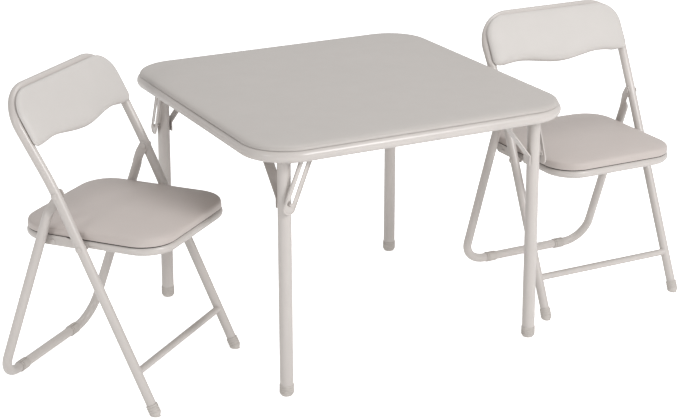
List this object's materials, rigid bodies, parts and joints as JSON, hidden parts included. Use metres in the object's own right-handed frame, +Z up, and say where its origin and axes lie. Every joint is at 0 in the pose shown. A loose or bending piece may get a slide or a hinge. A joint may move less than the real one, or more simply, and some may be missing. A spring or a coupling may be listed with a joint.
{
  "type": "children's folding table and chair set",
  "caption": "Small square folding table with a padded vinyl top and matching folding chairs with padded seats and backs, all in one warm grey-beige.",
  "frame": {"origin": "on the floor under the middle of the whole set's bounding box", "axes": "+X along the table's front edge, from the left chair towards the right chair; +Y away from the front of the table; +Z up"},
  "size_m": [1.2978, 0.61, 0.533],
  "materials": {
    "powder_coat": "satin warm grey-beige powder coat on bent steel tube",
    "table_vinyl": "fine-grained matt vinyl over thin padding",
    "seat_vinyl": "fine-grained matt vinyl over foam",
    "back_vinyl": "fine-grained matt vinyl over foam",
    "foot_plastic": "ribbed moulded cap, slightly darker than the tubes",
    "board": "hardboard base under the padding",
    "pin_steel": "plain steel pin"
  },
  "bodies": {
    "table_top": {"table_frame": "powder_coat", "table_board": "board", "table_pad": "table_vinyl", "leg_bracket_front_left": "powder_coat", "hinge_pin_front_left": "pin_steel", "leg_bracket_front_right": "powder_coat", "hinge_pin_front_right": "pin_steel", "leg_bracket_back_right": "powder_coat", "hinge_pin_back_right": "pin_steel", "leg_bracket_back_left": "powder_coat", "hinge_pin_back_left": "pin_steel"},
    "front_left_leg": {"leg_front_left": "powder_coat", "foot_front_left": "foot_plastic", "strut_front_left": "powder_coat"},
    "front_left_lock": {"lock_link_front_left": "powder_coat"},
    "front_right_leg": {"leg_front_right": "powder_coat", "foot_front_right": "foot_plastic", "strut_front_right": "powder_coat"},
    "front_right_lock": {"lock_link_front_right": "powder_coat"},
    "back_right_leg": {"leg_back_right": "powder_coat", "foot_back_right": "foot_plastic", "strut_back_right": "powder_coat"},
    "back_right_lock": {"lock_link_back_right": "powder_coat"},
    "back_left_leg": {"leg_back_left": "powder_coat", "foot_back_left": "foot_plastic", "strut_back_left": "powder_coat"},
    "back_left_lock": {"lock_link_back_left": "powder_coat"},
    "left_chair_base": {"left_chair_frame": "powder_coat", "left_chair_front_crossbar": "powder_coat", "left_chair_back_panel": "back_vinyl", "left_chair_back_pad": "back_vinyl", "left_chair_foot_left": "foot_plastic", "left_chair_foot_right": "foot_plastic", "left_chair_leg_rivet_left": "powder_coat", "left_chair_leg_rivet_right": "powder_coat"},
    "left_chair_rear": {"left_chair_rear_legs": "powder_coat", "left_chair_glide_left": "foot_plastic", "left_chair_glide_right": "foot_plastic"},
    "left_chair_seat": {"left_chair_seat_ring": "powder_coat", "left_chair_seat_board": "board", "left_chair_seat_pad": "seat_vinyl", "left_chair_seat_bracket_left": "powder_coat", "left_chair_seat_bracket_right": "powder_coat"},
    "right_chair_base": {"right_chair_frame": "powder_coat", "right_chair_front_crossbar": "powder_coat", "right_chair_back_panel": "back_vinyl", "right_chair_back_pad": "back_vinyl", "right_chair_foot_left": "foot_plastic", "right_chair_foot_right": "foot_plastic", "right_chair_leg_rivet_left": "powder_coat", "right_chair_leg_rivet_right": "powder_coat"},
    "right_chair_rear": {"right_chair_rear_legs": "powder_coat", "right_chair_glide_left": "foot_plastic", "right_chair_glide_right": "foot_plastic"},
    "right_chair_seat": {"right_chair_seat_ring": "powder_coat", "right_chair_seat_board": "board", "right_chair_seat_pad": "seat_vinyl", "right_chair_seat_bracket_left": "powder_coat", "right_chair_seat_bracket_right": "powder_coat"}
  },
  "joints": [
    {"name": "fold_front_left_leg", "type": "hinge", "parent": "table_top", "child": "front_left_leg", "pos_m": [-0.2289, -0.253, 0.4265], "axis": [0.061, -0.9981, 0], "range_deg": [0, 90]},
    {"name": "turn_front_left_lock", "type": "hinge", "parent": "table_top", "child": "front_left_lock", "pos_m": [-0.1953, -0.2725, 0.4285], "axis": [0, -1, 0], "range_deg": [0, 111.2]},
    {"name": "fold_front_right_leg", "type": "hinge", "parent": "table_top", "child": "front_right_leg", "pos_m": [0.2646, -0.2405, 0.4265], "axis": [0.9981, 0.061, 0], "range_deg": [0, 90]},
    {"name": "turn_front_right_lock", "type": "hinge", "parent": "table_top", "child": "front_right_lock", "pos_m": [0.2841, -0.2069, 0.4285], "axis": [1, 0, 0], "range_deg": [0, 111.2]},
    {"name": "fold_back_right_leg", "type": "hinge", "parent": "table_top", "child": "back_right_leg", "pos_m": [0.2521, 0.253, 0.4265], "axis": [-0.061, 0.9981, 0], "range_deg": [0, 90]},
    {"name": "turn_back_right_lock", "type": "hinge", "parent": "table_top", "child": "back_right_lock", "pos_m": [0.2185, 0.2725, 0.4285], "axis": [0, 1, 0], "range_deg": [0, 111.2]},
    {"name": "fold_back_left_leg", "type": "hinge", "parent": "table_top", "child": "back_left_leg", "pos_m": [-0.2414, 0.2405, 0.4265], "axis": [-0.9981, -0.061, 0], "range_deg": [0, 90]},
    {"name": "turn_back_left_lock", "type": "hinge", "parent": "table_top", "child": "back_left_lock", "pos_m": [-0.2609, 0.2069, 0.4285], "axis": [-1, 0, 0], "range_deg": [0, 111.2]},
    {"name": "pull_out_left_chair", "type": "slide", "parent": "table_top", "child": "left_chair_base", "axis": [-0.633, 0.7742, 0], "range_m": [0, 0.3]},
    {"name": "fold_left_chair", "type": "hinge", "parent": "left_chair_base", "child": "left_chair_rear", "pos_m": [-0.45009, -0.00438, 0.3645], "axis": [-0.7742, -0.633, 0], "range_deg": [0, 30]},
    {"name": "turn_left_chair_seat", "type": "hinge", "parent": "left_chair_base", "child": "left_chair_seat", "pos_m": [-0.42445, -0.03573, 0.2775], "axis": [0.7742, 0.633, 0], "range_deg": [0, 65.1]},
    {"name": "pull_out_right_chair", "type": "slide", "parent": "table_top", "child": "right_chair_base", "axis": [0, 1, 0], "range_m": [0, 0.3]},
    {"name": "fold_right_chair", "type": "hinge", "parent": "right_chair_base", "child": "right_chair_rear", "pos_m": [0.4891, -0.0267, 0.3645], "axis": [-1, 0, 0], "range_deg": [0, 30]},
    {"name": "turn_right_chair_seat", "type": "hinge", "parent": "right_chair_base", "child": "right_chair_seat", "pos_m": [0.4891, -0.0672, 0.2775], "axis": [1, 0, 0], "range_deg": [0, 65.1]}
  ],
  "couplings": [
    {"joint": "turn_front_left_lock", "follows": "fold_front_left_leg", "ratio": 1.2356},
    {"joint": "turn_front_right_lock", "follows": "fold_front_right_leg", "ratio": 1.2356},
    {"joint": "turn_back_right_lock", "follows": "fold_back_right_leg", "ratio": 1.2356},
    {"joint": "turn_back_left_lock", "follows": "fold_back_left_leg", "ratio": 1.2356},
    {"joint": "turn_left_chair_seat", "follows": "fold_left_chair", "ratio": 2.1667},
    {"joint": "turn_right_chair_seat", "follows": "fold_right_chair", "ratio": 2.1667}
  ]
}
